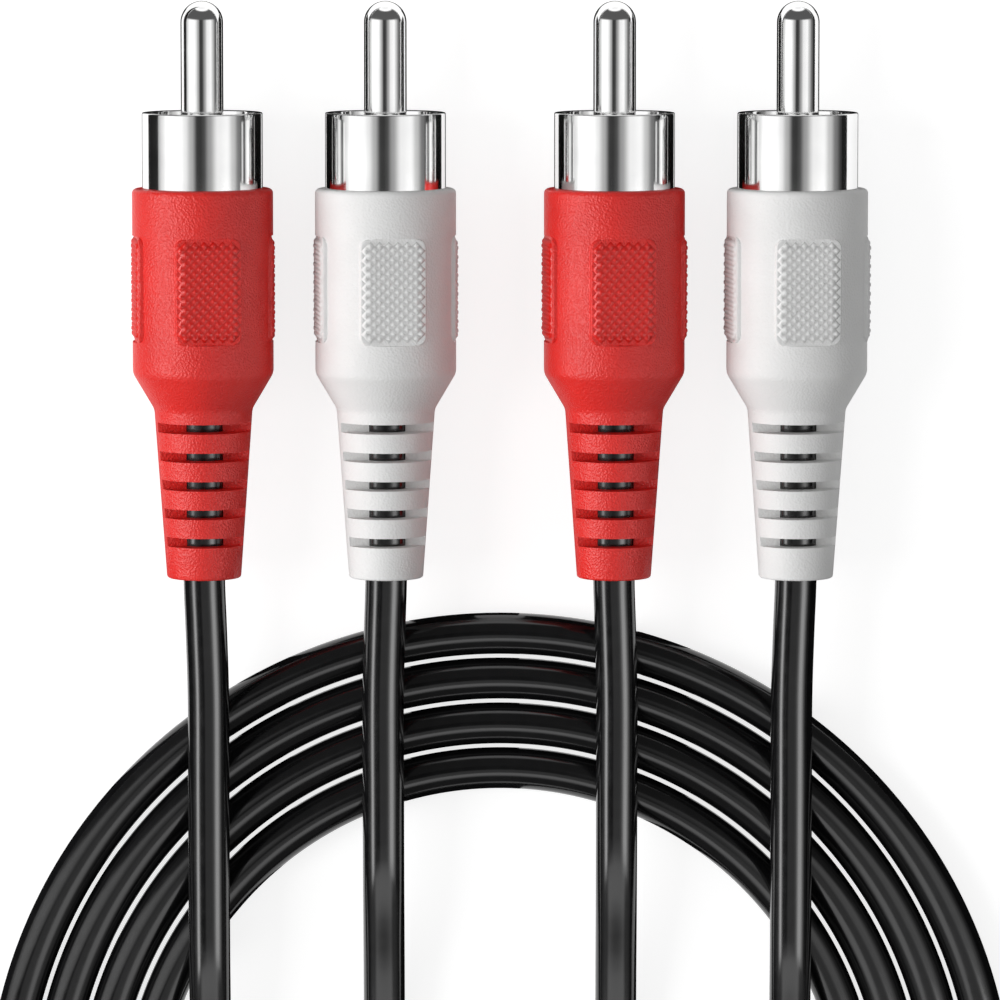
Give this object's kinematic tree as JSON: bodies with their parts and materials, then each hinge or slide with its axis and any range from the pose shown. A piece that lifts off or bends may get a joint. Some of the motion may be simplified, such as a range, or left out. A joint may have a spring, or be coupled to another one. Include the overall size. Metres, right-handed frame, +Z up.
{
  "type": "rca audio cable",
  "caption": "Stereo phono cable laid flat in a coil, with red and white moulded plugs, nickel pins and collars, flat grip pads and slotted strain reliefs.",
  "frame": {"origin": "under the middle of the row of plugs, on the surface they lie on; the cord ends and the coil are left out of it", "axes": "+X along the row of plugs from the left pair to the right pair, +Y the way the pins point, +Z up"},
  "size_m": [0.079, 0.1255, 0.0107],
  "materials": {
    "nickel": "polished nickel plate",
    "red_body": "satin soft PVC with a fine leather grain",
    "white_body": "satin soft PVC with a fine leather grain",
    "insulator": "natural moulded plastic",
    "inner_mould": "natural moulded plastic",
    "core": "extruded polyethylene",
    "copper": "bare copper strands",
    "cord": "glossy extruded PVC jacket"
  },
  "bodies": {
    "root": {"red_left_centre_pin": "nickel", "red_left_insulator": "insulator", "red_left_collar": "nickel", "red_left_inner_mould": "inner_mould", "red_left_body": "red_body", "red_left_core_insulation": "core", "red_left_conductor": "copper", "red_left_shield_pigtail": "copper", "white_left_centre_pin": "nickel", "white_left_insulator": "insulator", "white_left_collar": "nickel", "white_left_inner_mould": "inner_mould", "white_left_body": "white_body", "white_left_core_insulation": "core", "white_left_conductor": "copper", "white_left_shield_pigtail": "copper", "red_right_centre_pin": "nickel", "red_right_insulator": "insulator", "red_right_collar": "nickel", "red_right_inner_mould": "inner_mould", "red_right_body": "red_body", "red_right_core_insulation": "core", "red_right_conductor": "copper", "red_right_shield_pigtail": "copper", "white_right_centre_pin": "nickel", "white_right_insulator": "insulator", "white_right_collar": "nickel", "white_right_inner_mould": "inner_mould", "white_right_body": "white_body", "white_right_core_insulation": "core", "white_right_conductor": "copper", "white_right_shield_pigtail": "copper", "red_lead_left_tail": "cord", "white_lead_left_tail": "cord", "red_lead_right_tail": "cord", "white_lead_right_tail": "cord", "lead_coil": "cord"}
  },
  "joints": []
}
